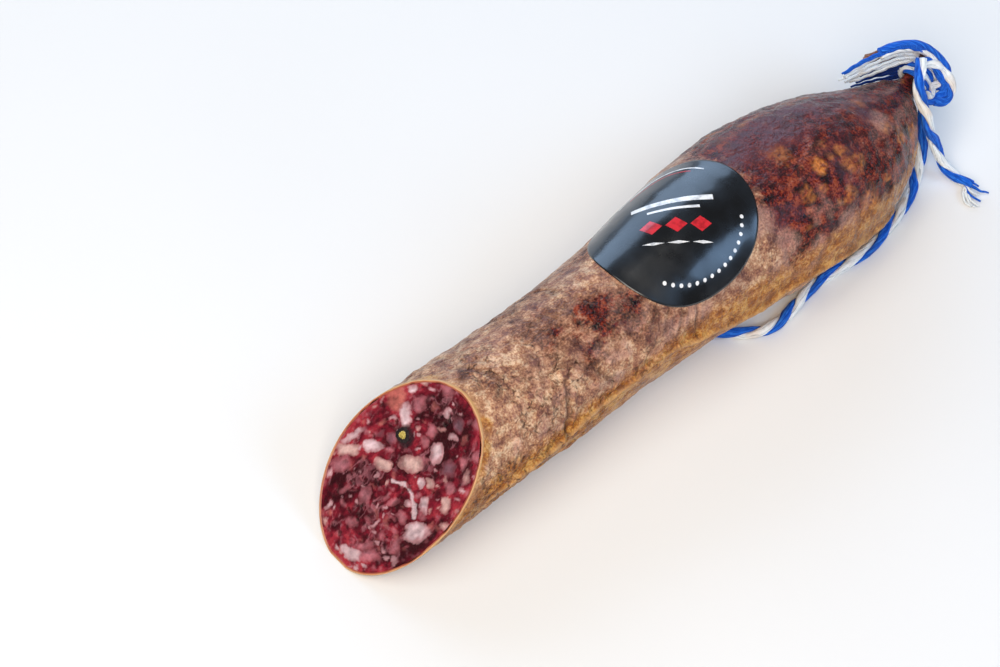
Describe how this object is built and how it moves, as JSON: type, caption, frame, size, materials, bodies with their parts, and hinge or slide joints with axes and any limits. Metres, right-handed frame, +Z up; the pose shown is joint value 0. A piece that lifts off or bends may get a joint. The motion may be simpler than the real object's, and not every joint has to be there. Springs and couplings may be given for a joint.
{
  "type": "cured sausage half",
  "caption": "Thick dry-cured sausage half cut on the slant, with a round black sticker and a two-ply twine tie and hanging loop at its gathered end.",
  "frame": {"origin": "on the surface it lies on, under the middle of the sausage's box, measured without the twine", "axes": "+X along the sausage from the slanting cut to the tied end, +Z up; the long loose end of twine lies towards -Y"},
  "size_m": [0.3137, 0.0723, 0.0651],
  "materials": {
    "casing": "dried natural casing, satin, tan to dark red-brown",
    "meat": "cut cured meat, moist, deep red with pinkish-white fat",
    "label": "glossy black film sticker with plain shapes in white and red",
    "twine": "twisted soft yarn, one blue ply and one off-white ply",
    "yarn": "loose off-white and blue yarns"
  },
  "bodies": {
    "root": {"sausage": "casing", "label": "label", "twine_tie": "twine", "twine_loop": "twine", "twine_long_end": "twine", "twine_short_end": "twine", "twine_yarns": "yarn"}
  },
  "joints": []
}
